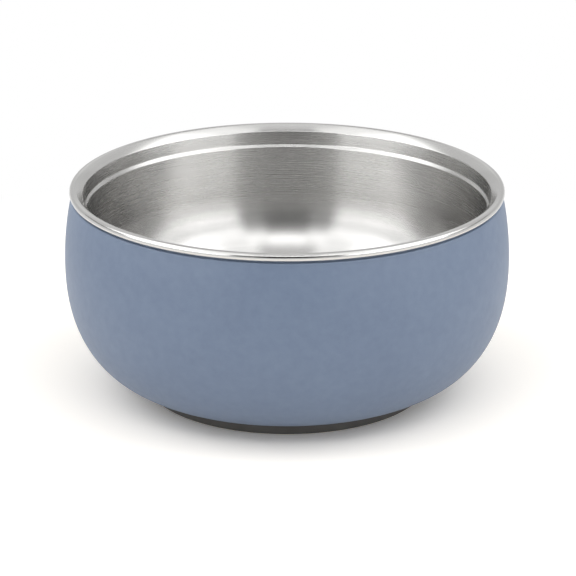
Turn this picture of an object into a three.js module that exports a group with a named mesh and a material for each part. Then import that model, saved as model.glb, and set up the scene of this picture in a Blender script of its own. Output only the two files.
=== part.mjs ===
// Double-wall pet bowl. A drawn steel liner and a coated outer shell meet in one rolled rim.
// A base pan closes the shell below, and a rubber ring grips the foot that the two make together.
// Every piece is turned about +Z. Lengths are millimetres, angles are degrees, the floor is z = 0.

import * as THREE from 'three';

// Outline of the whole bowl
const rimRadius = 100;
const rimHeight = 97.1;
const rimWidth = 6.15;
const mouthEdgeDrop = 3.25;
const bellyBulge = 2.83;
const bellyHeight = 61.34;
const undersideHeight = 5.39;
const footRadius = 66.8;

// Sheet thicknesses, and the gap that neighbouring pieces keep
const linerWall = 0.7;
const shellWall = 0.8;
const panWall = 0.8;
const coverWall = 0.6;
const foilWall = 0.15;
const clipWall = 0.3;
const fitGap = 0.3;

// Rolled rim and the seam below it
const curlSlack = 0.4;
const domeStartAngle = 128;
const seamGap = 0.5;
const seamStep = 0.6;
const shoulderBendShare = 0.75;

// Liner below the rim: a collar, a small sloping step, a nearly upright wall, an elliptic corner
const collarTaper = 0.5;
const stepDepth = 9.1;
const stepWidth = 1.15;
const stepHeight = 2;
const stepLean = 42;
const stepFilletShare = 0.6;
const wallDepth = 22;
const wallTaper = 0.5;
const cornerRun = 52;

// Belly and neck of the outer shell
const bellySquareness = 2.25;
const undersideRunIn = 4.6;
const neckFillet = 0.8;

// Rubber foot ring, a channel that grips the neck and the pan's rim from below
const ringWall = 1.5;
const ringInnerWall = 1.8;
const soleThickness = 2.2;
const soleEdgeRadius = 1;
const soleChamfer = 0.4;
const treadDepth = 0.6;
const treadCount = 2;

// Base pan, with a stiffening step and a dimple round the evacuation port
const panelHeight = 7;
const panBend = 2;
const panStepRun = 2;
const panStepRise = 1.2;
const portSlopeRun = 2.8;
const portDepth = 1.5;
const portBore = 1;

// Cover disc and the adhesive ring that holds it by its flat rim
const coverRimWidth = 14.7;
const coverRise = 0.6;
const adhesiveMargin = 2.3;
const adhesiveThickness = 0.5;

// Solder pellet in the port
const pelletRadius = 2.7;
const pelletMargin = 0.5;
const pelletHeight = 1;
const pelletFaceShare = 0.7;

// Getter pill and the cup that holds it under the liner's floor
const getterRadius = 5.5;
const getterHeight = 2.6;
const getterChamfer = 0.6;
const clipFlangeWidth = 2.4;
const clipWindowRadius = 3;
const vacuumGap = 5;

// Reflecting foil round the liner
const foilMargin = 8;
const foilCornerSteps = 3;

// Facets round the axis, and steps along the curves of each profile
const shellSegments = 48;
const smallSegments = 24;
const curlSteps = 7;
const domeSteps = 2;
const bendSteps = 2;
const linerCornerSteps = 7;
const upperBellySteps = 4;
const lowerBellySteps = 8;
const samePoint = 0.0001;

// Radii and heights that several pieces share
const curlBore = shellWall + curlSlack;
const beadRadius = curlBore + linerWall;
const beadCentre = point(rimRadius - beadRadius, rimHeight - beadRadius);
const mouthEdge = point(rimRadius - rimWidth, rimHeight - mouthEdgeDrop);
const neckRadius = footRadius - ringWall - fitGap;
const neckBottom = soleThickness + fitGap;
const panRimRadius = neckRadius - shellWall - fitGap;
const panRimBore = panRimRadius - panWall;
const panCrown = panelHeight + panStepRise;
const portFloor = panCrown + portDepth;
const ringBore = panRimBore - fitGap - ringInnerWall;
const coverRadius = ringBore - fitGap;
const stepRadius = coverRadius - coverRimWidth;
const clipDepth = getterHeight + 2 * fitGap + clipWall;
const clipTop = portFloor + panWall + vacuumGap + clipDepth;
const floorHeight = clipTop + fitGap + linerWall;
const stepTop = rimHeight - stepDepth;
const collarRadius = mouthEdge.x - collarTaper;
const wallTop = point(collarRadius - stepWidth, stepTop - stepHeight);
const wallFoot = point(wallTop.x - wallTaper, wallTop.y - wallDepth);

function point(radius, height) {
  return new THREE.Vector2(radius, height);
}

function radians(angle) {
  return THREE.MathUtils.degToRad(angle);
}

// Several runs of points as one line, with the points that two runs share kept once.
function join(...runs) {
  return runs.flat().filter((here, i, all) => i === 0 || here.distanceTo(all[i - 1]) > samePoint);
}

// Both ends of an arc and the points between them. An angle of 0 points away from the axis.
function arc(centre, radius, fromAngle, toAngle, steps) {
  const points = [];
  for (let i = 0; i <= steps; i += 1) {
    const angle = radians(THREE.MathUtils.lerp(fromAngle, toAngle, i / steps));
    points.push(point(centre.x + radius * Math.cos(angle), centre.y + radius * Math.sin(angle)));
  }
  return points;
}

// A superellipse from its upright side at the top (turn 0) towards its level foot (turn 90).
function superellipse(footCentre, run, drop, squareness, toAngle, steps) {
  const power = 2 / squareness;
  const points = [];
  for (let i = 0; i <= steps; i += 1) {
    const angle = radians((toAngle * i) / steps);
    const out = Math.cos(angle) ** power;
    const down = Math.sin(angle) ** power;
    points.push(point(footCentre.x + run * out, footCentre.y + drop * (1 - down)));
  }
  return points;
}

// The same line moved to its left by a distance, or to its right if that is negative.
// A corner moves along its bisector, so a sheet keeps its thickness round a bend.
function beside(line, distance) {
  return line.map((here, i) => {
    const before = line[Math.max(i - 1, 0)];
    const after = line[Math.min(i + 1, line.length - 1)];
    const coming = i === 0 ? after.clone().sub(here) : here.clone().sub(before);
    const going = i === line.length - 1 ? coming.clone() : after.clone().sub(here);
    coming.normalize();
    going.normalize();
    const along = coming.clone().add(going).normalize();
    const reach = distance / along.dot(coming);
    return point(here.x - along.y * reach, here.y + along.x * reach);
  });
}

// A closed section from its two long sides, both drawn in the same direction.
// A section that ends on the axis starts there too, and any other returns to its first point.
function section(face, back) {
  const loop = [...face].reverse().concat(back);
  return loop[0].x === 0 ? loop : closed(loop);
}

function closed(loop) {
  return [...loop, loop[0].clone()];
}

// A section turned about the axis, drawn counterclockwise so that its faces point out.
function turned(loop, segments) {
  const outward = THREE.ShapeUtils.area(loop) > 0 ? loop : [...loop].reverse();
  return new THREE.LatheGeometry(outward, segments).rotateX(Math.PI / 2);
}

// Corner of the liner as seen from inside the bowl, from the upright wall to the flat floor
function linerCorner() {
  const footCentre = point(wallFoot.x - cornerRun, floorHeight);
  return superellipse(footCentre, cornerRun, wallFoot.y - floorHeight, 2, 90, linerCornerSteps);
}

// The face of the liner runs from the free end of the curl, over the rim and down to the floor.
function linerFace() {
  const curlEndAngle = -THREE.MathUtils.radToDeg(Math.acos(fitGap / curlBore));
  const curl = arc(beadCentre, beadRadius, curlEndAngle, domeStartAngle, curlSteps);

  // The dome leaves the curl without a kink and ends at the edge of the mouth.
  const leave = point(Math.cos(radians(domeStartAngle)), Math.sin(radians(domeStartAngle)));
  const toEdge = mouthEdge.clone().sub(beadCentre);
  const growth = (toEdge.lengthSq() - beadRadius ** 2) / (2 * (beadRadius - toEdge.dot(leave)));
  const domeCentre = beadCentre.clone().addScaledVector(leave, -growth);
  const toMouth = mouthEdge.clone().sub(domeCentre);
  const domeEndAngle = THREE.MathUtils.radToDeg(toMouth.angle());
  const dome = arc(domeCentre, toMouth.length(), domeStartAngle, domeEndAngle, domeSteps);

  // The step is a flank that leans by stepLean between a fillet and a nose, tangent to both.
  // Width and height of the step give the length of the flank and the two radii together.
  const rise = Math.sin(radians(stepLean));
  const level = Math.cos(radians(stepLean));
  const flank = (stepWidth * rise - stepHeight * (1 - level)) / (1 - level);
  const stepRadii = (stepHeight - flank * level) / rise;
  const filletRadius = stepRadii * stepFilletShare;
  const noseRadius = stepRadii - filletRadius;
  const filletCentre = point(collarRadius - filletRadius, stepTop);
  const noseCentre = point(wallTop.x + noseRadius, wallTop.y);
  const fillet = arc(filletCentre, filletRadius, 0, -stepLean, bendSteps);
  const nose = arc(noseCentre, noseRadius, 180 - stepLean, 180, bendSteps);
  return join(curl, dome, fillet, nose, linerCorner(), [point(0, floorHeight)]);
}

function innerBowl() {
  const face = linerFace();
  return turned(section(face, beside(face, linerWall)), shellSegments);
}

// The shell's lip stands inside the curl. Below it a rounded shoulder starts the belly.
function outerShell() {
  const lipRadius = beadCentre.x;
  const lipTop = beadCentre.y;
  const shelfHeight = beadCentre.y - beadRadius - seamGap;
  const shoulderRadius = rimRadius - seamStep;
  const shoulderBend = (shoulderRadius - lipRadius) * shoulderBendShare;
  const shoulderFoot = point(shoulderRadius, shelfHeight - shoulderBend);
  const shoulderCentre = point(shoulderRadius - shoulderBend, shoulderFoot.y);
  const shoulder = arc(shoulderCentre, shoulderBend, 90, 0, bendSteps);

  const bellyRadius = rimRadius + bellyBulge;
  const upperBelly = [];
  for (let i = 1; i < upperBellySteps; i += 1) {
    const rise = 1 - i / upperBellySteps;
    const radius = bellyRadius - (bellyRadius - shoulderRadius) * rise ** 2;
    upperBelly.push(point(radius, THREE.MathUtils.lerp(bellyHeight, shoulderFoot.y, rise)));
  }

  // The lower belly runs in under the bowl and stops where the fillet into the neck begins.
  const flatCentre = point(neckRadius - undersideRunIn, undersideHeight);
  const run = bellyRadius - flatCentre.x;
  const runLeftShare = (undersideRunIn + neckFillet) / run;
  const stop = THREE.MathUtils.radToDeg(Math.acos(runLeftShare ** (bellySquareness / 2)));
  const drop = bellyHeight - undersideHeight;
  const lowerBelly = superellipse(flatCentre, run, drop, bellySquareness, stop, lowerBellySteps);
  const underside = lowerBelly[lowerBellySteps];
  const filletCentre = point(underside.x, underside.y - neckFillet);
  const fillet = arc(filletCentre, neckFillet, 90, 180, bendSteps);

  const lip = [point(lipRadius, lipTop), point(lipRadius, shelfHeight)];
  const below = join([shoulderFoot], upperBelly, lowerBelly, fillet, [point(neckRadius, neckBottom)]);
  const face = join(lip, shoulder, below);
  const belowInside = beside(below, -shellWall);
  const shelfUnderside = shelfHeight - shellWall;
  const back = [
    point(lipRadius - shellWall, lipTop),
    point(lipRadius - shellWall, shelfUnderside),
    point(belowInside[0].x, shelfUnderside),
    ...belowInside.slice(1),
  ];
  return turned(section(face, back), shellSegments);
}

function footRing() {
  const boreTop = panelHeight - panBend - fitGap;
  const boreFloor = point(panRimBore - fitGap, soleThickness);
  const outerFloor = point(footRadius - ringWall, soleThickness);
  const lipRadius = ringWall / 2;
  const lipCentre = point(footRadius - lipRadius, undersideHeight - fitGap - lipRadius);
  const edgeCentre = point(footRadius - soleEdgeRadius, soleEdgeRadius);

  // Lands and grooves share the sole equally, with a land at both edges.
  const soleInner = ringBore + soleChamfer;
  const bandWidth = (edgeCentre.x - soleInner) / (2 * treadCount + 1);
  const sole = [];
  for (let i = 0; i < treadCount; i += 1) {
    const grooveOuter = edgeCentre.x - bandWidth * (2 * i + 1);
    const grooveInner = grooveOuter - bandWidth;
    sole.push(point(grooveOuter, 0), point(grooveOuter, treadDepth));
    sole.push(point(grooveInner, treadDepth), point(grooveInner, 0));
  }

  const bore = [
    point(soleInner, 0),
    point(ringBore, soleChamfer),
    point(ringBore, boreTop),
    point(boreFloor.x, boreTop),
    boreFloor,
    outerFloor,
  ];
  const lip = arc(lipCentre, lipRadius, 180, 0, bendSteps + 1);
  const edge = arc(edgeCentre, soleEdgeRadius, 0, -90, bendSteps);
  return turned(closed(join(bore, lip, edge, sole)), shellSegments);
}

function basePan() {
  const portFlatRadius = pelletRadius + pelletMargin;
  const bendCentre = point(panRimBore - panBend, panelHeight - panBend);
  const face = join(
    [point(panRimBore, neckBottom)],
    arc(bendCentre, panBend, 0, 90, bendSteps),
    [
      point(stepRadius, panelHeight),
      point(stepRadius - panStepRun, panCrown),
      point(portFlatRadius + portSlopeRun, panCrown),
      point(portFlatRadius, portFloor),
      point(portBore, portFloor),
    ],
  );
  return turned(section(face, beside(face, -panWall)), shellSegments);
}

function coverAdhesive() {
  const bottom = panelHeight - adhesiveThickness;
  const inner = stepRadius + adhesiveMargin;
  const outer = coverRadius - adhesiveMargin;
  const corners = [
    point(inner, bottom),
    point(outer, bottom),
    point(outer, panelHeight),
    point(inner, panelHeight),
  ];
  return turned(closed(corners), shellSegments);
}

// The cover's raised middle follows the pan's own step, and its flat rim sticks to the adhesive.
function baseCover() {
  const rimFace = panelHeight - adhesiveThickness - coverWall;
  const face = [
    point(coverRadius, rimFace),
    point(stepRadius, rimFace),
    point(stepRadius - panStepRun, rimFace + coverRise),
    point(0, rimFace + coverRise),
  ];
  return turned(section(face, beside(face, -coverWall)), shellSegments);
}

// The pellet lies in the port's dimple and its spigot stands in the hole.
function vacuumSeal() {
  const spigotRadius = portBore - fitGap;
  const spigotHeight = panWall + fitGap;
  return turned(
    [
      point(0, -pelletHeight),
      point(pelletRadius * pelletFaceShare, -pelletHeight),
      point(pelletRadius, -pelletHeight / 2),
      point(pelletRadius, 0),
      point(spigotRadius, 0),
      point(spigotRadius, spigotHeight),
      point(0, spigotHeight),
    ],
    smallSegments,
  );
}

// Cup and pill are drawn from the top of the cup's flange down.
function getterClip() {
  const cupRadius = getterRadius + fitGap + clipWall;
  const face = [
    point(cupRadius + clipFlangeWidth, -clipWall),
    point(cupRadius, -clipWall),
    point(cupRadius, -clipDepth),
    point(clipWindowRadius, -clipDepth),
  ];
  return turned(section(face, beside(face, -clipWall)), smallSegments);
}

function getter() {
  const top = -fitGap;
  const bottom = top - getterHeight;
  const faceRadius = getterRadius - getterChamfer;
  return turned(
    [
      point(0, bottom),
      point(faceRadius, bottom),
      point(getterRadius, bottom + getterChamfer),
      point(getterRadius, top - getterChamfer),
      point(faceRadius, top),
      point(0, top),
    ],
    smallSegments,
  );
}

// The foil follows the back of the liner from its upright wall a little way into the corner.
function foilShield() {
  const top = wallTop.clone().lerp(wallFoot, foilMargin / wallDepth);
  const line = [top, ...linerCorner().slice(0, foilCornerSteps + 1)];
  const clear = linerWall + fitGap;
  return turned(section(beside(line, clear), beside(line, clear + foilWall)), shellSegments);
}

function finish(color, roughness, metalness) {
  return new THREE.MeshStandardMaterial({ color, roughness, metalness });
}

const spunSteel = finish(0xcbcac8, 0.25, 1);
const blueCoat = finish(0x6a798f, 0.55, 0);
const pressedSteel = finish(0xb4b4b2, 0.4, 1);
const coverSteel = finish(0xbcbbba, 0.35, 1);
const charcoalRubber = finish(0x595856, 0.7, 0);
const adhesiveFoam = finish(0x8d8a84, 0.9, 0);
const solderGlass = finish(0x3a3f45, 0.25, 0);
const getterMetal = finish(0x6f6d6a, 0.7, 0.6);
const brightFoil = finish(0xd6d7d9, 0.2, 1);

function piece(name, geometry, material) {
  const mesh = new THREE.Mesh(geometry, material);
  mesh.name = name;
  return mesh;
}

const getterUnit = new THREE.Group();
getterUnit.add(piece('getter_clip', getterClip(), pressedSteel));
getterUnit.add(piece('getter', getter(), getterMetal));
getterUnit.position.z = clipTop;

const vessel = new THREE.Group();
vessel.add(piece('inner_bowl', innerBowl(), spunSteel));
vessel.add(piece('outer_shell', outerShell(), blueCoat));
vessel.add(piece('foil_shield', foilShield(), brightFoil));
vessel.add(getterUnit);

const seal = piece('vacuum_seal', vacuumSeal(), solderGlass);
seal.position.z = portFloor - fitGap;

const foot = new THREE.Group();
foot.add(piece('base_pan', basePan(), pressedSteel));
foot.add(seal);
foot.add(piece('cover_adhesive', coverAdhesive(), adhesiveFoam));
foot.add(piece('base_cover', baseCover(), coverSteel));
foot.add(piece('foot_ring', footRing(), charcoalRubber));

const petBowl = new THREE.Group();
petBowl.add(vessel, foot);

export default petBowl;
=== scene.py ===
# %% [markdown]
# # A double-wall pet bowl
# The bowl is two drawn steel bowls, one inside the other. The inner one is bare steel, and its
# edge is rolled over the lip of the outer one, which has a blue powder coat. A rubber ring grips
# the foot. The CAD model says where every piece is, so it is loaded first and stays as it is. Its
# round pieces have flat facets, so each piece that shows is turned again here, more finely, from
# the same section.

# %% Load the CAD model as the fixed frame
import math

import bpy
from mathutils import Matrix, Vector


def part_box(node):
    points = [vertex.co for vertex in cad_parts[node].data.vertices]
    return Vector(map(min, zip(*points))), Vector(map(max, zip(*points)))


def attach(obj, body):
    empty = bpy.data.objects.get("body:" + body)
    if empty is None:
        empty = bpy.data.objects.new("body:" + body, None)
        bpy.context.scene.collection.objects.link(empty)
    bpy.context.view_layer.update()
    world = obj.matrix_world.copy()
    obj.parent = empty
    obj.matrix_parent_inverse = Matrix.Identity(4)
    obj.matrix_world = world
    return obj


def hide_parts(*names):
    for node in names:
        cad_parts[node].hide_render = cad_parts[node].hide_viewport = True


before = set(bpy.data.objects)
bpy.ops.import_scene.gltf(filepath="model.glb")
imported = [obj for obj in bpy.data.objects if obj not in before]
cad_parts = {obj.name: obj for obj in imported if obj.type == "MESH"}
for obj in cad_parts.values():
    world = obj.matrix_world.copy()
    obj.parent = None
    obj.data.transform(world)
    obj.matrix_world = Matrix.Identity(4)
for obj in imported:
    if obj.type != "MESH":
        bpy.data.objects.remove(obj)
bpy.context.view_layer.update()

BODY = "root"

# %% [markdown]
# ## The camera
# The photograph looks down on the bowl by about twenty degrees from a little over a metre away,
# with a long lens. Place, tilt and lens come from fitting a pinhole camera to the outlines of the
# rim, the belly and the foot, so the render can be laid over the photograph without moving anything.

# %% Camera at the photograph's viewpoint
SENSOR_WIDTH = 36
LENS = 160.7
CAMERA_PLACE = (0.00044, -1.1273, 0.4569)
CAMERA_TILT = math.radians(69.96)


def make_camera():
    data = bpy.data.cameras.new("photo_camera")
    data.sensor_width = SENSOR_WIDTH
    data.lens = LENS
    camera = bpy.data.objects.new("photo_camera", data)
    camera.location = CAMERA_PLACE
    camera.rotation_euler = (CAMERA_TILT, 0, 0)
    bpy.context.scene.collection.objects.link(camera)
    bpy.context.scene.camera = camera
    return camera


camera = make_camera()
bpy.context.scene.view_settings.view_transform = "Standard"
print("camera at", tuple(camera.location), "lens", camera.data.lens)

# %% [markdown]
# ## Nodes written as sums
# Geometry and material both come from node trees. Wiring hundreds of Math nodes by hand is hard to
# read, so a Wire stands for one output socket, and a sum or a product of Wires adds the Math nodes
# for it. Every other node comes from one method, which sets the node's options before its inputs.

# %% Wires and trees
class Wire:
    """One output socket, with the operators that add Math nodes behind it."""

    def __init__(self, tree, socket):
        self.tree = tree
        self.socket = socket

    def __add__(self, other):
        return self.tree.math("ADD", self, other)

    def __sub__(self, other):
        return self.tree.math("SUBTRACT", self, other)

    def __mul__(self, other):
        return self.tree.math("MULTIPLY", self, other)

    def __truediv__(self, other):
        return self.tree.math("DIVIDE", self, other)

    def __gt__(self, other):
        return self.tree.math("GREATER_THAN", self, other)

    def __rsub__(self, other):
        return self.tree.math("SUBTRACT", other, self)

    __radd__ = __add__
    __rmul__ = __mul__


class Tree:
    """Adds nodes to a node tree and hands back their outputs as Wires."""

    def __init__(self, nodes_of):
        self.nodes = nodes_of.nodes
        self.links = nodes_of.links

    def node(self, kind, options, inputs, output=0):
        made = self.nodes.new(kind)
        for name, value in options.items():
            if name == "stops":
                self.set_stops(made.color_ramp, value)
            else:
                setattr(made, name, value)
        for name, value in inputs.items():
            self.feed(made.inputs[name], value)
        return Wire(self, made.outputs[output]) if len(made.outputs) else made

    def feed(self, socket, value):
        if isinstance(value, Wire):
            self.links.new(value.socket, socket)
        else:
            socket.default_value = value

    def set_stops(self, ramp, stops):
        while len(ramp.elements) < len(stops):
            ramp.elements.new(1)
        for element, (place, colour) in zip(ramp.elements, stops):
            element.position = place
            element.color = (*colour, 1)

    def math(self, operation, *values):
        return self.node("ShaderNodeMath", {"operation": operation}, dict(enumerate(values)))

    def parts(self, vector):
        kind = "ShaderNodeSeparateXYZ"
        first = self.node(kind, {}, {0: vector}, "X")
        others = first.socket.node.outputs
        return first, Wire(self, others["Y"]), Wire(self, others["Z"])

    def vector(self, x, y, z):
        return self.node("ShaderNodeCombineXYZ", {}, {0: x, 1: y, 2: z})


print("wires ready")

# %% [markdown]
# ## A lathe in Geometry Nodes
# Every piece of the bowl is round about one axis, as what is spun or turned always is. A Screw
# modifier could turn a section too, but this tree also closes the poles, sets the creases and gives
# the finish. It takes a section, a line of points with its radius on X and its height on Z, and
# lays a grid over it: each column of the grid is the section turned by one more step. A point's
# number divided by the points in a column gives its column. Half a point is added first, so that a
# rounding error never moves a point into the column before its own. Merging the points that
# coincide closes the seam, the ends of the section and the poles. Edges that turn by more than the
# crease angle stay sharp, and all other edges are shaded smooth.

# %% The lathe tree
FULL_TURN = 2 * math.pi
MERGE_DISTANCE = 1e-6
HALF_A_POINT = 0.5
CREASE_ANGLE = math.radians(32)
LATHE_INPUTS = {
    "Section": "NodeSocketGeometry",
    "Segments": "NodeSocketInt",
    "Crease Angle": "NodeSocketFloat",
    "Merge Distance": "NodeSocketFloat",
    "Finish": "NodeSocketMaterial",
}


def make_lathe():
    group = bpy.data.node_groups.new("lathe", "GeometryNodeTree")
    for name, kind in LATHE_INPUTS.items():
        group.interface.new_socket(name, in_out="INPUT", socket_type=kind)
    group.interface.new_socket("Turned", in_out="OUTPUT", socket_type="NodeSocketGeometry")
    tree = Tree(group)
    given = tree.node("NodeGroupInput", {}, {}).socket.node.outputs
    section, segments, crease, merge, finish = (Wire(tree, given[name]) for name in LATHE_INPUTS)

    count = tree.node("GeometryNodeAttributeDomainSize", {}, {0: section}, "Point Count")
    size = {"Vertices X": segments + 1, "Vertices Y": count}
    grid = tree.node("GeometryNodeMeshGrid", {}, size, "Mesh")
    index = tree.node("GeometryNodeInputIndex", {}, {})
    column = tree.math("FLOOR", (index + HALF_A_POINT) / count)
    row = index - column * count

    place = tree.node("GeometryNodeInputPosition", {}, {})
    sample = {"Geometry": section, "Value": place, "Index": row}
    point = tree.node("GeometryNodeSampleIndex", {"data_type": "FLOAT_VECTOR"}, sample)
    radius, _, height = tree.parts(point)
    angle = column * FULL_TURN / segments
    sideways = radius * tree.math("COSINE", angle)
    backwards = radius * tree.math("SINE", angle)
    turned = tree.vector(sideways, backwards, height)

    mesh = tree.node("GeometryNodeSetPosition", {}, {"Geometry": grid, "Position": turned})
    mesh = tree.node("GeometryNodeMergeByDistance", {}, {"Geometry": mesh, "Distance": merge})
    mesh = tree.node("GeometryNodeSetShadeSmooth", {}, {"Geometry": mesh, "Shade Smooth": True})
    bend = tree.node("GeometryNodeInputMeshEdgeAngle", {}, {}, "Unsigned Angle")
    sharp = {"Geometry": mesh, "Selection": bend > crease, "Shade Smooth": False}
    mesh = tree.node("GeometryNodeSetShadeSmooth", {"domain": "EDGE"}, sharp)
    mesh = tree.node("GeometryNodeRealizeInstances", {}, {"Geometry": mesh})
    mesh = tree.node("GeometryNodeSetMaterial", {}, {"Geometry": mesh, "Material": finish})
    tree.node("NodeGroupOutput", {}, {"Turned": mesh})
    return group


lathe = make_lathe()
print("lathe tree:", len(lathe.nodes), "nodes")

# %% [markdown]
# ## From a section to a finished piece
# The lathe runs as a modifier on a thin line mesh. Its inputs are set by identifier before Blender
# looks at the object for the first time. The result is then copied out as a plain mesh, the
# modifier goes, the piece is hung on the body it rides on, and the CAD node it stands in for is
# hidden. Its finish comes in through the lathe. The enclosed volume, added up from the tetrahedra
# between the origin and every triangle, shows that the skin is closed and faces outwards.

# %% Turn a section and hand the piece over
MILLIMETRE = 0.001
CUBIC_CENTIMETRE = 1e-6
TETRAHEDRON_SHARE = 1 / 6


def signed_area(line):
    pairs = zip(line, line[1:] + line[:1])
    return sum(a[0] * b[1] - b[0] * a[1] for a, b in pairs) / 2


def enclosed_volume(mesh):
    mesh.calc_loop_triangles()
    corners = [vertex.co for vertex in mesh.vertices]
    total = 0
    for triangle in mesh.loop_triangles:
        a, b, c = (corners[i] for i in triangle.vertices)
        total += a.dot(b.cross(c))
    return total * TETRAHEDRON_SHARE


def turn(name, section, segments, finish, node):
    """Turn a section into a piece of this name that stands for a CAD node."""
    line = section if signed_area(section) > 0 else section[::-1]
    points = [(radius * MILLIMETRE, 0, height * MILLIMETRE) for radius, height in line]
    edges = [(i, i + 1) for i in range(len(points) - 1)]
    mesh = bpy.data.meshes.new(name)
    mesh.from_pydata(points, edges, [])
    piece = bpy.data.objects.new(name, mesh)
    bpy.context.scene.collection.objects.link(piece)

    modifier = piece.modifiers.new("lathe", "NODES")
    modifier.node_group = lathe
    sockets = {item.name: item.identifier for item in lathe.interface.items_tree}
    modifier[sockets["Segments"]] = segments
    modifier[sockets["Crease Angle"]] = CREASE_ANGLE
    modifier[sockets["Merge Distance"]] = MERGE_DISTANCE
    modifier[sockets["Finish"]] = finish
    graph = bpy.context.evaluated_depsgraph_get()
    piece.data = bpy.data.meshes.new_from_object(piece.evaluated_get(graph))
    piece.data.name = name
    piece.modifiers.clear()

    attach(piece, BODY)
    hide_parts(node)
    volume = enclosed_volume(piece.data) / CUBIC_CENTIMETRE
    faces = len(piece.data.polygons)
    print(f"{name}: {len(line)} section points, {faces} faces, {volume:.2f} cm3")


# %% [markdown]
# ## Lines that make a section
# A section is drawn in millimetres as (radius, height) pairs. Three kinds of line are enough for
# the whole bowl: an arc, a superellipse for the swelling belly, and a polygon with its corners
# rounded. Sheet metal keeps its thickness round a bend, so the back of a sheet is its face moved
# sideways. Angles are in degrees, from the outward direction and turning upwards, and points that
# lie closer than a millionth of a millimetre count as one.

# %% Arcs, superellipses, rounded corners and offsets
QUARTER_TURN = 90
HALF_TURN = 180
ELLIPSE_POWER = 2
SAME_PLACE = 1e-6
USUAL_BEND_STEPS = 6


def polar(centre, radius, angle):
    turned_by = math.radians(angle)
    return (centre[0] + radius * math.cos(turned_by), centre[1] + radius * math.sin(turned_by))


def arc(centre, radius, start, stop, steps):
    return [polar(centre, radius, start + (stop - start) * i / steps) for i in range(steps + 1)]


def superellipse(foot_centre, run, drop, squareness, stop, steps):
    """From its upright side at the top down towards its level foot."""
    power = ELLIPSE_POWER / squareness
    line = []
    for i in range(steps + 1):
        angle = math.radians(stop * i / steps)
        out = math.cos(angle) ** power
        down = math.sin(angle) ** power
        line.append((foot_centre[0] + run * out, foot_centre[1] + drop * (1 - down)))
    return line


def join(*lines):
    """Several lines as one, with the points that two of them share kept once."""
    joined = []
    for point in (point for line in lines for point in line):
        if not joined or math.dist(point, joined[-1]) > SAME_PLACE:
            joined.append(point)
    return joined


def beside(line, distance):
    """The same line moved to its left by a distance, or to its right if that is negative."""
    moved = []
    for i, here in enumerate(line):
        before = Vector(line[max(i - 1, 0)])
        after = Vector(line[min(i + 1, len(line) - 1)])
        here = Vector(here)
        coming = (here - before if i else after - here).normalized()
        going = (after - here).normalized() if i < len(line) - 1 else coming
        along = (coming + going).normalized()
        reach = distance / along.dot(coming)
        moved.append((here.x - along.y * reach, here.y + along.x * reach))
    return moved


def rounded(corners, steps=USUAL_BEND_STEPS):
    """An open line through (radius, height, bend radius) corners, with each bend as an arc."""
    line = []
    for i, (x, z, bend) in enumerate(corners):
        here = Vector((x, z))
        if bend == 0 or i in (0, len(corners) - 1):
            line.append((x, z))
            continue
        back = (Vector(corners[i - 1][:2]) - here).normalized()
        ahead = (Vector(corners[i + 1][:2]) - here).normalized()
        half = back.angle(ahead) / 2
        middle = here + (back + ahead).normalized() * bend / math.sin(half)
        first = here + back * bend / math.tan(half) - middle
        last = here + ahead * bend / math.tan(half) - middle
        sweep = first.angle_signed(last)
        start = math.atan2(first.y, first.x)
        for k in range(steps + 1):
            angle = start - sweep * k / steps
            line.append((middle.x + bend * math.cos(angle), middle.y + bend * math.sin(angle)))
    return line


def sheet_section(face, back):
    """A closed section from the two sides of a sheet, both drawn in the same direction."""
    loop = face[::-1] + back
    return loop if loop[0][0] == 0 else loop + loop[:1]


quarter = arc((0, 0), 1, 0, QUARTER_TURN, 2)
print("middle of a quarter arc:", tuple(round(value, 3) for value in quarter[1]))

# %% [markdown]
# ## Helpers for the finishes
# Every finish is a Principled shader whose colour, roughness and bump vary a little, because a
# surface with one flat value looks like a drawing. Patterns read Object coordinates in metres, so a
# scale of 1000 is a grain of about a millimetre. Spun, brushed and turned metal all carry fine
# lines round the axis: those come from noise that is squeezed across the lines and drawn out along
# them. Noise lies about its middle value, so what is meant to vary both ways has that taken off.

# %% Finishes, noise, spun lines and bump
PLAIN_DETAIL = 2
NOISE_MIDDLE = 0.5


def new_finish(name, uniform):
    material = bpy.data.materials.new(name)
    material.use_nodes = True
    shader = material.node_tree.nodes["Principled BSDF"]
    for socket, value in uniform.items():
        shader.inputs[socket].default_value = value
    return material, Tree(material.node_tree), shader


def object_place(tree):
    return tree.node("ShaderNodeTexCoord", {}, {}, "Object")


def grain(tree, scale, detail=PLAIN_DETAIL):
    """Noise from 0 to 1, even in all directions."""
    inputs = {"Vector": object_place(tree), "Scale": scale, "Detail": detail}
    return tree.node("ShaderNodeTexNoise", {"noise_dimensions": "3D"}, inputs)


def axis_distance(tree):
    x, y, _ = tree.parts(object_place(tree))
    return tree.math("SQRT", x * x + y * y)


def spun_lines(tree, spacing, length, detail=PLAIN_DETAIL):
    """Noise from 0 to 1 in lines round the axis, with their spacing and length in metres."""
    x, y, z = tree.parts(object_place(tree))
    across = tree.vector(axis_distance(tree) * (1 / spacing), z * (1 / spacing), x * (1 / length))
    inputs = {"Vector": across, "W": y * (1 / length), "Scale": 1, "Detail": detail}
    return tree.node("ShaderNodeTexNoise", {"noise_dimensions": "4D"}, inputs)


def ramp_up(tree, value, low, high):
    """0 below low, 1 above high and a smooth rise between them."""
    inputs = {"Value": value, "From Min": low, "From Max": high}
    return tree.node("ShaderNodeMapRange", {"interpolation_type": "SMOOTHSTEP"}, inputs)


def shades(tree, factor, stops):
    """A colour that follows a factor through a list of (place, colour) stops."""
    return tree.node("ShaderNodeValToRGB", {"stops": stops}, {"Fac": factor}, "Color")


def bumped(tree, height, distance, under=None):
    inputs = {"Height": height, "Strength": 1, "Distance": distance}
    if under is not None:
        inputs["Normal"] = under
    return tree.node("ShaderNodeBump", {}, inputs)


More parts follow.
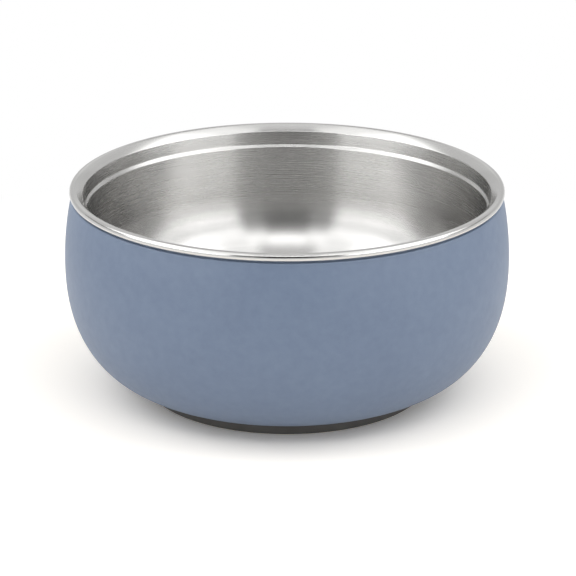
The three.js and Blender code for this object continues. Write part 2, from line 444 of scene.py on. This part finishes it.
def finish_with(tree, shader, colour, roughness, normal):
    tree.feed(shader.inputs["Base Color"], colour)
    tree.feed(shader.inputs["Roughness"], roughness)
    tree.feed(shader.inputs["Normal"], normal)


print("finish helpers ready")

# %% [markdown]
# ## Spun steel
# The liner is drawn and then rubbed on a turning tool, which leaves hair-fine lines round the axis.
# They stretch every reflection across themselves, which one anisotropic shader does better than any
# bump. Wider, fainter bands come from the tool's feed, and slow smudges from handling. The floor is
# a little smoother than the wall, and the height says which of the two it is. The rim is polished:
# it lies outside the mouth's edge, so the distance from the axis says where it is.

# %% The liner's finish
STEEL_SHADES = [
    (0.3, (0.58, 0.575, 0.565)),
    (0.7, (0.61, 0.605, 0.595)),
]
WALL_ROUGHNESS = 0.255
FLOOR_ROUGHNESS = 0.19
POLISHED_ROUGHNESS = 0.16
LINE_ROUGHNESS = 0.035
SMUDGE_ROUGHNESS = 0.03
STEEL_ANISOTROPY = 0.88
WALL_STARTS = (0.040, 0.062)
ACROSS_THE_LINES = 0.25
LINE_SPACING = 0.00025
LINE_LENGTH = 0.04
BAND_SPACING = 0.0018
BAND_LENGTH = 0.12
SMUDGE_SCALE = 28
LINE_HEIGHT = 0.7e-6
RIM_STARTS = (0.0937, 0.0943)


def lined_steel(name, anisotropy):
    """A metal finish that stretches its reflections across the lines."""
    stretch = {"Anisotropic": anisotropy, "Anisotropic Rotation": ACROSS_THE_LINES}
    return new_finish(name, {"Metallic": 1, **stretch})


def spun_steel():
    material, tree, shader = lined_steel("spun_steel", STEEL_ANISOTROPY)
    lines = spun_lines(tree, LINE_SPACING, LINE_LENGTH)
    bands = spun_lines(tree, BAND_SPACING, BAND_LENGTH)
    smudges = grain(tree, SMUDGE_SCALE) - NOISE_MIDDLE
    _, _, height = tree.parts(object_place(tree))
    wall = ramp_up(tree, height, *WALL_STARTS)
    rim = ramp_up(tree, axis_distance(tree), *RIM_STARTS)
    satin = FLOOR_ROUGHNESS + (WALL_ROUGHNESS - FLOOR_ROUGHNESS) * wall
    plain = satin + (POLISHED_ROUGHNESS - satin) * rim
    roughness = plain + lines * LINE_ROUGHNESS + smudges * SMUDGE_ROUGHNESS
    colour = shades(tree, bands, STEEL_SHADES)
    finish_with(tree, shader, colour, roughness, bumped(tree, lines, LINE_HEIGHT))
    return material


steel = spun_steel()
print("spun_steel:", len(steel.node_tree.nodes), "nodes")

# %% [markdown]
# ## The liner
# One sheet makes the floor, the corner, the wall, the small step below the collar, the sloping rim
# face and the bead that rolls over the shell's lip. Its whole form is one face line, drawn from the
# free end of the curl to the middle of the floor, and a second line one sheet thickness behind it.
# The mouth's edge is a tight bend and not a corner, so that it catches a thin line of light.

# %% Sizes of the rim and the liner
RIM_RADIUS = 100
RIM_HEIGHT = 97.1
FLOOR_HEIGHT = 20
LINER_WALL = 0.7
SHELL_WALL = 0.8
CURL_SLACK = 0.4
FIT_GAP = 0.3
RIM_WIDTH = 6.15
MOUTH_EDGE_DROP = 3.25
MOUTH_BEND = 0.8
DOME_START = 128
COLLAR_TAPER = 0.5
STEP_DEPTH = 9.1
STEP_WIDTH = 1.15
STEP_HEIGHT = 2
STEP_LEAN = 42
STEP_FILLET_SHARE = 0.6
WALL_DEPTH = 22
WALL_TAPER = 0.5
CORNER_RUN = 52

curl_bore = SHELL_WALL + CURL_SLACK
bead_radius = curl_bore + LINER_WALL
bead_centre = (RIM_RADIUS - bead_radius, RIM_HEIGHT - bead_radius)
mouth_edge = (RIM_RADIUS - RIM_WIDTH, RIM_HEIGHT - MOUTH_EDGE_DROP)
cad_floor, cad_rim = (corner.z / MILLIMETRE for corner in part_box("inner_bowl"))
print(f"drawn from {FLOOR_HEIGHT - LINER_WALL} to {RIM_HEIGHT} mm")
print(f"in the CAD model from {cad_floor:.2f} to {cad_rim:.2f} mm")

# %% Face line of the liner
BEAD_STEPS = 28
DOME_STEPS = 8
BEND_STEPS = 8
CORNER_STEPS = 44
LINER_SEGMENTS = 192


def rim_lines():
    """The curl and the dome that leaves it without a kink and ends at the mouth's edge."""
    free_end = -math.degrees(math.acos(FIT_GAP / curl_bore))
    curl = arc(bead_centre, bead_radius, free_end, DOME_START, BEAD_STEPS)
    leave = Vector(polar((0, 0), 1, DOME_START))
    to_edge = Vector(mouth_edge) - Vector(bead_centre)
    growth = (to_edge.length_squared - bead_radius ** 2) / (2 * (bead_radius - to_edge.dot(leave)))
    dome_centre = Vector(bead_centre) - growth * leave
    to_mouth = Vector(mouth_edge) - dome_centre
    dome_end = math.degrees(math.atan2(to_mouth.y, to_mouth.x))
    dome = arc(tuple(dome_centre), to_mouth.length, DOME_START, dome_end, DOME_STEPS)
    return curl, dome


def step_lines(collar_radius, step_top):
    """Fillet and nose of the step, with a straight flank between them that leans by STEP_LEAN."""
    rise = math.sin(math.radians(STEP_LEAN))
    level = math.cos(math.radians(STEP_LEAN))
    flank = (STEP_WIDTH * rise - STEP_HEIGHT * (1 - level)) / (1 - level)
    both_radii = (STEP_HEIGHT - flank * level) / rise
    fillet_radius = both_radii * STEP_FILLET_SHARE
    nose_radius = both_radii - fillet_radius
    foot = (collar_radius - STEP_WIDTH, step_top - STEP_HEIGHT)
    fillet_centre = (collar_radius - fillet_radius, step_top)
    nose_centre = (foot[0] + nose_radius, foot[1])
    fillet = arc(fillet_centre, fillet_radius, 0, -STEP_LEAN, BEND_STEPS)
    nose = arc(nose_centre, nose_radius, HALF_TURN - STEP_LEAN, HALF_TURN, BEND_STEPS)
    return fillet, nose


def liner_face():
    curl, dome = rim_lines()
    collar_radius = mouth_edge[0] - COLLAR_TAPER
    step_top = RIM_HEIGHT - STEP_DEPTH
    fillet, nose = step_lines(collar_radius, step_top)
    mouth = rounded([(*dome[-2], 0), (*dome[-1], MOUTH_BEND), (*fillet[0], 0)])
    wall_foot = (nose[-1][0] - WALL_TAPER, nose[-1][1] - WALL_DEPTH)
    corner_centre = (wall_foot[0] - CORNER_RUN, FLOOR_HEIGHT)
    drop = wall_foot[1] - FLOOR_HEIGHT
    form = (ELLIPSE_POWER, QUARTER_TURN, CORNER_STEPS)
    corner = superellipse(corner_centre, CORNER_RUN, drop, *form)
    return join(curl, dome[:-1], mouth, fillet, nose, corner, [(0, FLOOR_HEIGHT)])


face = liner_face()
liner_section = sheet_section(face, beside(face, LINER_WALL))
turn("spun_liner", liner_section, LINER_SEGMENTS, steel, "inner_bowl")

# %% [markdown]
# ## Powder coat
# Powder coat is a dry paint that melts into a thick, even skin. Its surface is matte with a soft
# sheen, and it never flows quite flat: there is an orange peel a millimetre or two across with a
# finer grit on it. The pigment settles a little unevenly as well. Three noises of different grain
# are weighed together for that, a slow drift, small clouds and the grit, and the blue follows them
# by a few per cent. The peel and the grit are some hundredths of a millimetre high, which is too
# fine for a mesh, so they are bump.

# %% The shell's finish
COAT_SHADES = [
    (0.36, (0.130, 0.174, 0.260)),
    (0.50, (0.142, 0.189, 0.277)),
    (0.64, (0.155, 0.205, 0.294)),
]
COAT_IOR = 1.58
COAT_ROUGHNESS = 0.44
COAT_GRIT_ROUGHNESS = 0.12
DRIFT_SCALE = 34
DRIFT_SHARE = 0.3
CLOUD_SCALE = 240
CLOUD_DETAIL = 3
CLOUD_SHARE = 0.45
PEEL_SCALE = 620
GRIT_SCALE = 2600
GRIT_SHARE = 0.25
PEEL_HEIGHT = 4.5e-5
GRIT_HEIGHT = 1.3e-5


def powder_coat():
    material, tree, shader = new_finish("blue_coat", {"Metallic": 0, "IOR": COAT_IOR})
    drift = grain(tree, DRIFT_SCALE)
    cloud = grain(tree, CLOUD_SCALE, CLOUD_DETAIL)
    grit = grain(tree, GRIT_SCALE)
    mottle = drift * DRIFT_SHARE + cloud * CLOUD_SHARE + grit * GRIT_SHARE
    peel = bumped(tree, grain(tree, PEEL_SCALE), PEEL_HEIGHT)
    roughness = COAT_ROUGHNESS + grit * COAT_GRIT_ROUGHNESS
    normal = bumped(tree, grit, GRIT_HEIGHT, peel)
    finish_with(tree, shader, shades(tree, mottle, COAT_SHADES), roughness, normal)
    return material


coat = powder_coat()
print("blue_coat:", len(coat.node_tree.nodes), "nodes")

# %% [markdown]
# ## The outer shell
# The shell's lip stands inside the rolled rim, and a small rounded shoulder below the seam starts
# the belly. The upper belly is a parabola and the lower one a superellipse. They meet at the widest
# place, where both stand upright, so the eye finds no joint. A curve through measured points would
# do as well, but these two stay smooth when a size changes. Below, a fillet turns into the neck.

# %% Sizes and section of the shell
BELLY_RADIUS = 102.83
FOOT_RADIUS = 66.8
SEAM_GAP = 0.5
SEAM_STEP = 0.6
SHOULDER_BEND_SHARE = 0.75
BELLY_HEIGHT = 61.34
BELLY_SQUARENESS = 2.25
UNDERSIDE_HEIGHT = 5.39
UNDERSIDE_RUN_IN = 4.6
NECK_FILLET = 0.8
RING_WALL = 1.5
SOLE_THICKNESS = 2.2
UPPER_BELLY_STEPS = 20
LOWER_BELLY_STEPS = 56
SHELL_SEGMENTS = 192

neck_radius = FOOT_RADIUS - RING_WALL - FIT_GAP
neck_bottom = SOLE_THICKNESS + FIT_GAP


def upper_belly(top_radius, top_height):
    line = []
    for i in range(1, UPPER_BELLY_STEPS):
        rise = 1 - i / UPPER_BELLY_STEPS
        radius = BELLY_RADIUS - (BELLY_RADIUS - top_radius) * rise ** 2
        line.append((radius, BELLY_HEIGHT + (top_height - BELLY_HEIGHT) * rise))
    return line


def lower_belly():
    flat_centre = (neck_radius - UNDERSIDE_RUN_IN, UNDERSIDE_HEIGHT)
    run = BELLY_RADIUS - flat_centre[0]
    run_left_share = (UNDERSIDE_RUN_IN + NECK_FILLET) / run
    stop = math.degrees(math.acos(run_left_share ** (BELLY_SQUARENESS / ELLIPSE_POWER)))
    drop = BELLY_HEIGHT - UNDERSIDE_HEIGHT
    belly = superellipse(flat_centre, run, drop, BELLY_SQUARENESS, stop, LOWER_BELLY_STEPS)
    fillet_centre = (belly[-1][0], belly[-1][1] - NECK_FILLET)
    fillet = arc(fillet_centre, NECK_FILLET, QUARTER_TURN, HALF_TURN, BEND_STEPS)
    return join(belly, fillet, [(neck_radius, neck_bottom)])


def shell_section():
    lip_radius, lip_top = bead_centre
    shelf = lip_top - bead_radius - SEAM_GAP
    shoulder_radius = RIM_RADIUS - SEAM_STEP
    bend = (shoulder_radius - lip_radius) * SHOULDER_BEND_SHARE
    foot = (shoulder_radius, shelf - bend)
    shoulder = arc((shoulder_radius - bend, foot[1]), bend, QUARTER_TURN, 0, BEND_STEPS)
    below = join([foot], upper_belly(*foot), lower_belly())
    inside = beside(below, -SHELL_WALL)
    inner_lip = lip_radius - SHELL_WALL
    shelf_underside = shelf - SHELL_WALL
    front = join([(lip_radius, lip_top), (lip_radius, shelf)], shoulder, below)
    back = [(inner_lip, lip_top), (inner_lip, shelf_underside), (inside[0][0], shelf_underside)]
    return sheet_section(front, back + inside[1:])


turn("coated_shell", shell_section(), SHELL_SEGMENTS, coat, "outer_shell")

# %% [markdown]
# ## Rubber
# The ring is moulded in silicone rubber, a dull charcoal grey. The mould's own texture leaves a
# fine even grain, and dust settles on it in faint patches, which make it paler and rougher where
# they lie. One fine noise is the grain and one coarse noise the dust.

# %% The ring's finish
RUBBER_SHADES = [
    (0.35, (0.084, 0.080, 0.073)),
    (0.75, (0.118, 0.113, 0.104)),
]
RUBBER_IOR = 1.43
RUBBER_ROUGHNESS = 0.62
RUBBER_DUST_ROUGHNESS = 0.22
DUST_SCALE = 85
DUST_DETAIL = 4
DUST_SHARE = 0.8
MOULD_GRAIN_SCALE = 3200
MOULD_GRAIN_HEIGHT = 1.4e-5


def rubber():
    material, tree, shader = new_finish("charcoal_rubber", {"Metallic": 0, "IOR": RUBBER_IOR})
    dust = grain(tree, DUST_SCALE, DUST_DETAIL)
    mould = grain(tree, MOULD_GRAIN_SCALE)
    mottle = dust * DUST_SHARE + mould * (1 - DUST_SHARE)
    roughness = RUBBER_ROUGHNESS + dust * RUBBER_DUST_ROUGHNESS
    normal = bumped(tree, mould, MOULD_GRAIN_HEIGHT)
    finish_with(tree, shader, shades(tree, mottle, RUBBER_SHADES), roughness, normal)
    return material


charcoal_rubber = rubber()
print("charcoal_rubber:", len(charcoal_rubber.node_tree.nodes), "nodes")

# %% [markdown]
# ## The foot ring
# The ring is a channel that is pushed over the neck of the bowl from below. A thin rounded lip is
# all that shows from the side, and the sole has two grooves so that it grips a wet floor. Moulded
# rubber has no sharp edges, so every corner of its polygon is rounded.

# %% Section of the ring
RING_INNER_WALL = 1.8
SOLE_EDGE_RADIUS = 1
SOLE_CHAMFER = 0.4
TREAD_DEPTH = 0.6
TREAD_COUNT = 2
GROOVE_BEND = 0.2
CHANNEL_BEND = 0.3
PAN_WALL = 0.8
PAN_HEIGHT = 7
PAN_BEND = 2
RING_SEGMENTS = 192
RING_BEND_STEPS = 5

pan_bore = neck_radius - SHELL_WALL - FIT_GAP - PAN_WALL
ring_bore = pan_bore - FIT_GAP - RING_INNER_WALL


def ring_section():
    bore_top = PAN_HEIGHT - PAN_BEND - FIT_GAP
    channel_inner = pan_bore - FIT_GAP
    channel_outer = FOOT_RADIUS - RING_WALL
    half_lip = RING_WALL / 2
    lip_top = UNDERSIDE_HEIGHT - FIT_GAP
    sole_inner = ring_bore + SOLE_CHAMFER
    band = (FOOT_RADIUS - SOLE_EDGE_RADIUS - sole_inner) / (2 * TREAD_COUNT + 1)
    corners = [
        (sole_inner + band / 2, 0, 0),
        (sole_inner, 0, GROOVE_BEND),
        (ring_bore, SOLE_CHAMFER, GROOVE_BEND),
        (ring_bore, bore_top, CHANNEL_BEND),
        (channel_inner, bore_top, CHANNEL_BEND),
        (channel_inner, SOLE_THICKNESS, CHANNEL_BEND),
        (channel_outer, SOLE_THICKNESS, CHANNEL_BEND),
        (channel_outer, lip_top, half_lip),
        (FOOT_RADIUS, lip_top, half_lip),
        (FOOT_RADIUS, 0, SOLE_EDGE_RADIUS),
    ]
    for i in range(TREAD_COUNT):
        outer = FOOT_RADIUS - SOLE_EDGE_RADIUS - band * (2 * i + 1)
        inner = outer - band
        groove = ((outer, 0), (outer, TREAD_DEPTH), (inner, TREAD_DEPTH), (inner, 0))
        corners += [(radius, height, GROOVE_BEND) for radius, height in groove]
    corners.append(corners[0])
    return rounded(corners, RING_BEND_STEPS)


ring_line = ring_section()
turn("rubber_foot_ring", ring_line, RING_SEGMENTS, charcoal_rubber, "foot_ring")

# %% [markdown]
# ## Brushed steel for the cover disc
# The disc under the bowl is brushed on a turntable. Its lines are shorter and coarser than the
# liner's, and its gloss is lower. Fine lines and the same slow bands as in the liner share in its
# colour.

# %% The cover's finish
COVER_SHADES = [
    (0.3, (0.44, 0.437, 0.432)),
    (0.7, (0.56, 0.555, 0.548)),
]
COVER_ROUGHNESS = 0.26
COVER_LINE_ROUGHNESS = 0.16
COVER_LINE_SPACING = 0.0004
COVER_LINE_LENGTH = 0.025
COVER_LINE_DETAIL = 3
COVER_LINE_SHARE = 0.5
COVER_LINE_HEIGHT = 3e-6
COVER_ANISOTROPY = 0.7


def cover_steel():
    material, tree, shader = lined_steel("cover_steel", COVER_ANISOTROPY)
    lines = spun_lines(tree, COVER_LINE_SPACING, COVER_LINE_LENGTH, COVER_LINE_DETAIL)
    bands = spun_lines(tree, BAND_SPACING, COVER_LINE_LENGTH)
    mottle = lines * COVER_LINE_SHARE + bands * (1 - COVER_LINE_SHARE)
    smudges = grain(tree, SMUDGE_SCALE) - NOISE_MIDDLE
    roughness = COVER_ROUGHNESS + lines * COVER_LINE_ROUGHNESS + smudges * SMUDGE_ROUGHNESS
    normal = bumped(tree, lines, COVER_LINE_HEIGHT)
    finish_with(tree, shader, shades(tree, mottle, COVER_SHADES), roughness, normal)
    return material


cover_finish = cover_steel()
print("cover_steel:", len(cover_finish.node_tree.nodes), "nodes")

# %% [markdown]
# ## The cover disc
# The cover is a thin disc with a flat rim, which sticks to a foam ring, and a raised middle that
# stiffens it. It is pressed from sheet, so both bends of its step are rounded.

# %% Section of the cover
COVER_WALL = 0.6
COVER_RIM_WIDTH = 14.7
COVER_RISE = 0.6
COVER_STEP_RUN = 2
COVER_BEND = 1.5
COVER_BEND_STEPS = 6
ADHESIVE_THICKNESS = 0.5
COVER_SEGMENTS = 160


def cover_section():
    cover_radius = ring_bore - FIT_GAP
    step_radius = cover_radius - COVER_RIM_WIDTH
    low = PAN_HEIGHT - ADHESIVE_THICKNESS - COVER_WALL
    high = low + COVER_RISE
    corners = [
        (cover_radius, low, 0),
        (step_radius, low, COVER_BEND),
        (step_radius - COVER_STEP_RUN, high, COVER_BEND),
        (0, high, 0),
    ]
    below = rounded(corners, COVER_BEND_STEPS)
    return sheet_section(below, beside(below, -COVER_WALL))


turn("brushed_cover", cover_section(), COVER_SEGMENTS, cover_finish, "base_cover")

# %% [markdown]
# ## Finishes for what stays hidden
# Pan, foam, glass pellet, getter, clip and foil sit between the walls or behind the cover. Their
# CAD solids have the right shapes already and keep them. Each only gets a finish, made by one
# function from a few values, so that a bowl that is cut open or taken apart still looks right.

# %% Table of hidden finishes
HIDDEN_DETAIL = 3
HIDDEN_FINISHES = {
    "pressed_steel": {
        "stops": [(0.3, (0.42, 0.415, 0.41)), (0.7, (0.51, 0.505, 0.50))],
        "metallic": 1, "roughness": 0.3, "spread": 0.14, "scale": 900, "height": 4e-6,
    },
    "foil": {
        "stops": [(0.3, (0.70, 0.71, 0.72)), (0.7, (0.80, 0.81, 0.82))],
        "metallic": 1, "roughness": 0.12, "spread": 0.16, "scale": 260, "height": 4e-5,
    },
    "getter_metal": {
        "stops": [(0.3, (0.11, 0.105, 0.10)), (0.7, (0.21, 0.205, 0.20))],
        "metallic": 0.4, "roughness": 0.6, "spread": 0.3, "scale": 2600, "height": 3e-5,
    },
    "solder_glass": {
        "stops": [(0.3, (0.030, 0.038, 0.045)), (0.7, (0.052, 0.062, 0.075))],
        "metallic": 0, "roughness": 0.1, "spread": 0.1, "scale": 700, "height": 1e-5,
    },
    "adhesive_foam": {
        "stops": [(0.35, (0.20, 0.19, 0.175)), (0.65, (0.31, 0.30, 0.28))],
        "metallic": 0, "roughness": 0.8, "spread": 0.2, "scale": 3000, "height": 6e-5,
    },
}
HIDDEN_NODES = {
    "base_pan": "pressed_steel",
    "getter_clip": "pressed_steel",
    "foil_shield": "foil",
    "getter": "getter_metal",
    "vacuum_seal": "solder_glass",
    "cover_adhesive": "adhesive_foam",
}


def hidden_finish(name, values):
    material, tree, shader = new_finish(name, {"Metallic": values["metallic"]})
    pattern = grain(tree, values["scale"], HIDDEN_DETAIL)
    roughness = values["roughness"] + pattern * values["spread"]
    normal = bumped(tree, pattern, values["height"])
    finish_with(tree, shader, shades(tree, pattern, values["stops"]), roughness, normal)
    return material


hidden = {name: hidden_finish(name, values) for name, values in HIDDEN_FINISHES.items()}
for node_name, finish_name in HIDDEN_NODES.items():
    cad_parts[node_name].data.materials.clear()
    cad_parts[node_name].data.materials.append(hidden[finish_name])
print("finished inside:", ", ".join(HIDDEN_NODES))

# %% [markdown]
# ## The studio
# Polished steel shows the room, so the room matters as much as the metal. It is a plain white room,
# and soft panels hang in it, given in degrees by their azimuth from the camera and their elevation
# above the floor. Lamps and cards could stand there instead, but a panel that is drawn in the world
# needs no object and never comes into the picture. Both sides of the room are alike. A panel that
# starts straight above or below the camera has a negative limit there, which keeps its soft edge
# away. The strengths come from weighing what each panel adds to the picture against the photograph:
# wide lights on both sides, a bright bar high in front, and dark where the camera stands. The
# camera sees only the white room, and metal sees the panels before it.

# %% Panels of the light tent
ROOM_LIGHT = 0.95
AZIMUTH_FADE = 9
ELEVATION_FADE = 5
LOWEST = -90
BEHIND = 181
IN_DEGREES = math.degrees(1)
PANELS = {
    "camera side": {"azimuths": (-BEHIND, 15), "elevations": (LOWEST, 46), "strength": 0.02},
    "camera wing": {"azimuths": (15, 30), "elevations": (LOWEST, 40), "strength": 0.25},
    "front bar": {"azimuths": (-BEHIND, 15), "elevations": (47, 57), "strength": 3.8},
    "front wing": {"azimuths": (15, 32), "elevations": (41, 57), "strength": 2.4},
    "front top": {"azimuths": (-BEHIND, 32), "elevations": (57, 75), "strength": 0.5},
    "side skirt": {"azimuths": (30, 112), "elevations": (LOWEST, 9), "strength": 0.8},
    "low side": {"azimuths": (30, 90), "elevations": (9, 20), "strength": 4.2},
    "side gap": {"azimuths": (30, 80), "elevations": (20, 31), "strength": 0.4},
    "main side": {"azimuths": (30, 60), "elevations": (31, 44), "strength": 2.25},
    "upper side": {"azimuths": (32, 60), "elevations": (44, 60), "strength": 1.4},
    "far side": {"azimuths": (60, 90), "elevations": (31, 60), "strength": 2.5},
    "rear side": {"azimuths": (90, 112), "elevations": (20, 60), "strength": 2.45},
    "high side": {"azimuths": (32, 112), "elevations": (60, 75), "strength": 1.5},
    "rear low": {"azimuths": (90, 130), "elevations": (9, 20), "strength": 0.2},
    "back side": {"azimuths": (112, 155), "elevations": (20, 75), "strength": 0.8},
    "back low": {"azimuths": (130, BEHIND), "elevations": (LOWEST, 20), "strength": 0.7},
    "back middle": {"azimuths": (155, BEHIND), "elevations": (20, 41), "strength": 0.9},
    "back shade": {"azimuths": (155, BEHIND), "elevations": (41, 60), "strength": 0.5},
}


def between(tree, value, limits, fade):
    """1 between two limits and 0 outside, with a soft edge that is as wide as the fade."""
    low, high = limits
    half = fade / 2
    opens = ramp_up(tree, value, low - half, low + half)
    return opens - ramp_up(tree, value, high - half, high + half)


def light_tent(tree, room):
    """The room's own light with every panel laid over it."""
    x, y, z = tree.parts(tree.node("ShaderNodeTexCoord", {}, {}, "Generated"))
    azimuth = tree.math("ABSOLUTE", tree.math("ARCTAN2", x, 0 - y)) * IN_DEGREES
    elevation = tree.math("ARCSINE", z) * IN_DEGREES
    light = room
    for panel in PANELS.values():
        width = between(tree, azimuth, panel["azimuths"], AZIMUTH_FADE)
        height = between(tree, elevation, panel["elevations"], ELEVATION_FADE)
        light = light + width * height * (panel["strength"] - room)
    return tree.math("MAXIMUM", light, 0)


print("light tent:", ", ".join(PANELS))

# %% [markdown]
# ## What each kind of ray meets
# A white background comes from the rays that look at it and never from more light on the bowl. For
# rays from the camera and through glass the world is plain white, of strength 1. Rays that metal
# reflects meet the same white room, with the panels in front. Only the diffuse light of the room is
# a little lower, so that matte colours come out about as they are written.

# %% World
WHITE = (1, 1, 1, 1)
LOOKING_RAYS = ("Is Camera Ray", "Is Transmission Ray")
SEEING_RAYS = ("Is Camera Ray", "Is Glossy Ray", "Is Transmission Ray")


def rays_among(tree, kinds):
    """1 for a ray of any of these kinds and 0 for every other ray."""
    path = tree.node("ShaderNodeLightPath", {}, {}).socket.node.outputs
    found = Wire(tree, path[kinds[0]])
    for kind in kinds[1:]:
        found = tree.math("MAXIMUM", found, Wire(tree, path[kind]))
    return found


def empty_tree(owner):
    """The node tree of a world or a material, with its first nodes taken out."""
    owner.use_nodes = True
    owner.node_tree.nodes.clear()
    return Tree(owner.node_tree)


def make_world():
    world = bpy.data.worlds.new("light_tent")
    tree = empty_tree(world)
    room = ROOM_LIGHT + (1 - ROOM_LIGHT) * rays_among(tree, SEEING_RAYS)
    tent = light_tent(tree, room)
    strength = tent + (1 - tent) * rays_among(tree, LOOKING_RAYS)
    light = tree.node("ShaderNodeBackground", {}, {"Color": WHITE, "Strength": strength})
    tree.node("ShaderNodeOutputWorld", {}, {"Surface": light})
    bpy.context.scene.world = world
    return world


world = make_world()
print("world:", len(world.node_tree.nodes), "nodes")

# %% [markdown]
# ## Floor and background
# The floor is a plain pale sheet that keeps the bowl's soft shadow. To rays that look at it, from
# the camera or by way of the steel, its colour is a little brighter and warmer, which takes out
# the blue that the coat throws on it. Away from the bowl it passes into plain white for them, so
# that it runs out into the background without a horizon.

# %% Floor
FLOOR_HALF_WIDTH = 3
FLOOR_COLOUR = (0.68, 0.68, 0.68, 1)
FLOOR_SEEN_COLOUR = (1.16, 1.12, 1.06, 1)
WHITE_STARTS = (0.2, 0.32)


def floor_finish():
    material = bpy.data.materials.new("studio_floor")
    tree = empty_tree(material)
    plain = tree.node("ShaderNodeBsdfDiffuse", {}, {"Color": FLOOR_COLOUR})
    near = tree.node("ShaderNodeBsdfDiffuse", {}, {"Color": FLOOR_SEEN_COLOUR})
    white = tree.node("ShaderNodeEmission", {}, {"Color": WHITE, "Strength": 1})
    far = ramp_up(tree, axis_distance(tree), *WHITE_STARTS)
    looked_at = rays_among(tree, SEEING_RAYS)
    shown = tree.node("ShaderNodeMixShader", {}, {0: far, 1: near, 2: white})
    mixed = tree.node("ShaderNodeMixShader", {}, {0: looked_at, 1: plain, 2: shown})
    tree.node("ShaderNodeOutputMaterial", {}, {"Surface": mixed})
    return material


def make_floor():
    half = FLOOR_HALF_WIDTH
    mesh = bpy.data.meshes.new("studio_floor")
    corners = [(-half, -half, 0), (half, -half, 0), (half, half, 0), (-half, half, 0)]
    mesh.from_pydata(corners, [], [tuple(range(len(corners)))])
    mesh.materials.append(floor_finish())
    floor = bpy.data.objects.new("studio_floor", mesh)
    bpy.context.scene.collection.objects.link(floor)
    return floor


floor = make_floor()
print("floor", floor.name, "white beyond", WHITE_STARTS[1], "m")
